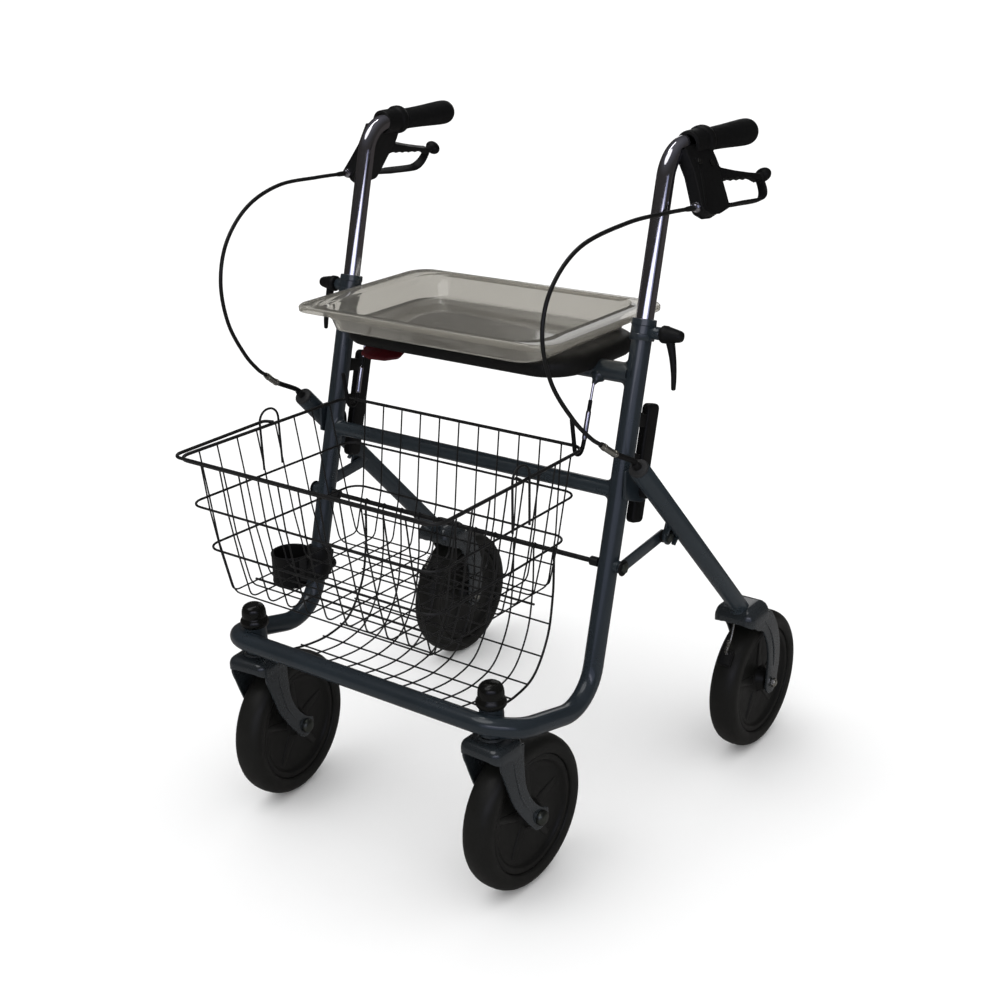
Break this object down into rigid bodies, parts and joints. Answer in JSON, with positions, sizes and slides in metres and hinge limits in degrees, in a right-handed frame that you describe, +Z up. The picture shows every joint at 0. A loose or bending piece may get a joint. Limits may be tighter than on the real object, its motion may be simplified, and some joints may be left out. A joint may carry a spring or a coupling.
{
  "type": "rollator",
  "caption": "Wheeled walking frame with height-adjustable handles, loop brakes, a seat, a lift-off tray, a hanging wire basket and a cane cup.",
  "frame": {"origin": "bottom centre of the bounding box: on the floor, midway between the sides and midway between the basket's front and the rear tyres' backs", "axes": "+Z up, -Y the travel direction, +Y towards the user, +X the right side seen from the front of the object as pictured"},
  "size_m": [0.6047, 0.7208, 0.8862],
  "materials": {
    "slate_paint": "gloss",
    "chrome": "polished",
    "black_plastic": "matt",
    "grip_rubber": "matt",
    "tyre": "matt",
    "seat_black": "grained",
    "smoked_plastic": "gloss, see-through",
    "red_plastic": "satin",
    "black_wire": "satin",
    "zinc_steel": "bright zinc"
  },
  "bodies": {
    "frame": {"frame_tube": "slate_paint", "seat_cross_tube": "slate_paint", "lower_cross_tube": "slate_paint", "guard_rod": "black_wire", "lower_wire_guard": "black_wire", "clamp_collar_L": "slate_paint", "clamp_collar_R": "slate_paint", "side_pad_L": "black_plastic", "side_pad_R": "black_plastic", "cane_cup": "black_plastic", "cane_cup_strap": "black_plastic", "basket_hanger_L": "chrome", "basket_hanger_R": "chrome", "leg_pivot_bolt_L": "zinc_steel", "leg_pivot_bolt_R": "zinc_steel", "stem_cap_L": "black_plastic", "stem_cap_R": "black_plastic"},
    "seat": {"seat": "seat_black"},
    "tray": {"tray": "smoked_plastic"},
    "release_lever": {"red_release_lever": "red_plastic"},
    "basket": {"basket": "black_wire"},
    "basket_handle": {"basket_handle": "black_wire"},
    "handle_R": {"handle_tube_R": "chrome", "grip_R": "grip_rubber", "brake_housing_R": "black_plastic", "brake_cable_R": "black_plastic"},
    "brake_lever_R": {"brake_lever_R": "black_plastic"},
    "clamp_lever_R": {"clamp_lever_R": "black_plastic"},
    "caster_R": {"front_fork_R": "slate_paint", "front_axle_bolt_R": "zinc_steel"},
    "front_wheel_R": {"front_tyre_R": "tyre", "front_rim_R": "black_plastic"},
    "leg_R": {"rear_leg_R": "slate_paint", "rear_fork_R": "slate_paint", "leg_cap_R": "black_plastic", "rear_axle_bolt_R": "zinc_steel"},
    "rear_wheel_R": {"rear_tyre_R": "tyre", "rear_rim_R": "black_plastic"},
    "brake_shoe_R": {"brake_shoe_R": "zinc_steel"},
    "strut_R": {"strut_R": "slate_paint"},
    "handle_L": {"handle_tube_L": "chrome", "grip_L": "grip_rubber", "brake_housing_L": "black_plastic", "brake_cable_L": "black_plastic"},
    "brake_lever_L": {"brake_lever_L": "black_plastic"},
    "clamp_lever_L": {"clamp_lever_L": "black_plastic"},
    "caster_L": {"front_fork_L": "slate_paint", "front_axle_bolt_L": "zinc_steel"},
    "front_wheel_L": {"front_tyre_L": "tyre", "front_rim_L": "black_plastic"},
    "leg_L": {"rear_leg_L": "slate_paint", "rear_fork_L": "slate_paint", "leg_cap_L": "black_plastic", "rear_axle_bolt_L": "zinc_steel"},
    "rear_wheel_L": {"rear_tyre_L": "tyre", "rear_rim_L": "black_plastic"},
    "brake_shoe_L": {"brake_shoe_L": "zinc_steel"},
    "strut_L": {"strut_L": "slate_paint"}
  },
  "joints": [
    {"name": "handle_slide_R", "type": "slide", "parent": "frame", "child": "handle_R", "axis": [0, 0.2615, 0.9652], "range_m": [-0.08, 0.05], "deforming": ["brake_cable_R"]},
    {"name": "brake_lever_R", "type": "hinge", "parent": "handle_R", "child": "brake_lever_R", "pos_m": [0.25085, 0.1115, 0.84159], "axis": [0.887, 0, 0.4617], "range_deg": [0, 15], "stiffness_Nm_per_rad": 1.2, "springref_deg": -8.59},
    {"name": "clamp_lever_R", "type": "hinge", "parent": "frame", "child": "clamp_lever_R", "pos_m": [0.256, 0.00519, 0.661], "axis": [1, 0, 0], "range_deg": [0, 180]},
    {"name": "caster_swivel_R", "type": "hinge", "parent": "frame", "child": "caster_R", "pos_m": [0.1927, -0.2603, 0.2285], "axis": [0, 0, 1], "continuous": true},
    {"name": "front_wheel_R", "type": "hinge", "parent": "caster_R", "child": "front_wheel_R", "pos_m": [0.1943, -0.20632, 0.1], "axis": [0.9996, -0.0297, 0], "continuous": true},
    {"name": "rear_leg_R", "type": "hinge", "parent": "frame", "child": "leg_R", "pos_m": [0.2688, -0.0196, 0.47], "axis": [1, 0, 0], "range_deg": [-50, 0]},
    {"name": "rear_wheel_R", "type": "hinge", "parent": "leg_R", "child": "rear_wheel_R", "pos_m": [0.2655, 0.2605, 0.1], "axis": [1, 0, 0], "continuous": true},
    {"name": "brake_shoe_R", "type": "hinge", "parent": "leg_R", "child": "brake_shoe_R", "pos_m": [0.2655, 0.199, 0.214], "axis": [1, 0, 0], "range_deg": [0, 1.6]},
    {"name": "strut_R", "type": "hinge", "parent": "frame", "child": "strut_R", "pos_m": [0.2497, -0.0699, 0.3875], "axis": [1, 0, 0], "range_deg": [0, 40]},
    {"name": "handle_slide_L", "type": "slide", "parent": "frame", "child": "handle_L", "axis": [0, 0.2615, 0.9652], "range_m": [-0.08, 0.05], "deforming": ["brake_cable_L"]},
    {"name": "brake_lever_L", "type": "hinge", "parent": "handle_L", "child": "brake_lever_L", "pos_m": [-0.25085, 0.1115, 0.84159], "axis": [0.887, 0, -0.4617], "range_deg": [0, 15], "stiffness_Nm_per_rad": 1.2, "springref_deg": -8.59},
    {"name": "clamp_lever_L", "type": "hinge", "parent": "frame", "child": "clamp_lever_L", "pos_m": [-0.256, 0.00519, 0.661], "axis": [1, 0, 0], "range_deg": [0, 180]},
    {"name": "caster_swivel_L", "type": "hinge", "parent": "frame", "child": "caster_L", "pos_m": [-0.1927, -0.2603, 0.2285], "axis": [0, 0, 1], "continuous": true},
    {"name": "front_wheel_L", "type": "hinge", "parent": "caster_L", "child": "front_wheel_L", "pos_m": [-0.19881, -0.20665, 0.1], "axis": [0.9936, 0.1132, 0], "continuous": true},
    {"name": "rear_leg_L", "type": "hinge", "parent": "frame", "child": "leg_L", "pos_m": [-0.2688, -0.0196, 0.47], "axis": [1, 0, 0], "range_deg": [-50, 0]},
    {"name": "rear_wheel_L", "type": "hinge", "parent": "leg_L", "child": "rear_wheel_L", "pos_m": [-0.2655, 0.2605, 0.1], "axis": [1, 0, 0], "continuous": true},
    {"name": "brake_shoe_L", "type": "hinge", "parent": "leg_L", "child": "brake_shoe_L", "pos_m": [-0.2655, 0.199, 0.214], "axis": [1, 0, 0], "range_deg": [0, 1.6]},
    {"name": "strut_L", "type": "hinge", "parent": "frame", "child": "strut_L", "pos_m": [-0.2497, -0.0699, 0.3875], "axis": [1, 0, 0], "range_deg": [0, 40]},
    {"name": "seat_tip", "type": "hinge", "parent": "frame", "child": "seat", "pos_m": [0, -0.00935, 0.611], "axis": [1, 0, 0], "range_deg": [-75, 0]},
    {"name": "tray_lift", "type": "slide", "parent": "seat", "child": "tray", "axis": [0, 0, 1], "range_m": [0, 0.12]},
    {"name": "release_lever", "type": "hinge", "parent": "seat", "child": "release_lever", "pos_m": [-0.134, -0.03, 0.603], "axis": [1, 0, 0], "range_deg": [-12, 0], "stiffness_Nm_per_rad": 0.3, "springref_deg": 5.73},
    {"name": "basket_lift", "type": "slide", "parent": "frame", "child": "basket", "axis": [0, 0, 1], "range_m": [0, 0.052]},
    {"name": "basket_handle", "type": "hinge", "parent": "basket", "child": "basket_handle", "pos_m": [0, -0.2, 0.5265], "axis": [1, 0, 0], "range_deg": [-95, 0]}
  ],
  "couplings": [
    {"joint": "strut_R", "follows": "rear_leg_L", "ratio": -0.8},
    {"joint": "brake_shoe_R", "follows": "brake_lever_R", "ratio": 0.1},
    {"joint": "strut_L", "follows": "rear_leg_L", "ratio": -0.8},
    {"joint": "brake_shoe_L", "follows": "brake_lever_L", "ratio": 0.1},
    {"joint": "rear_leg_R", "follows": "rear_leg_L", "ratio": 1}
  ]
}
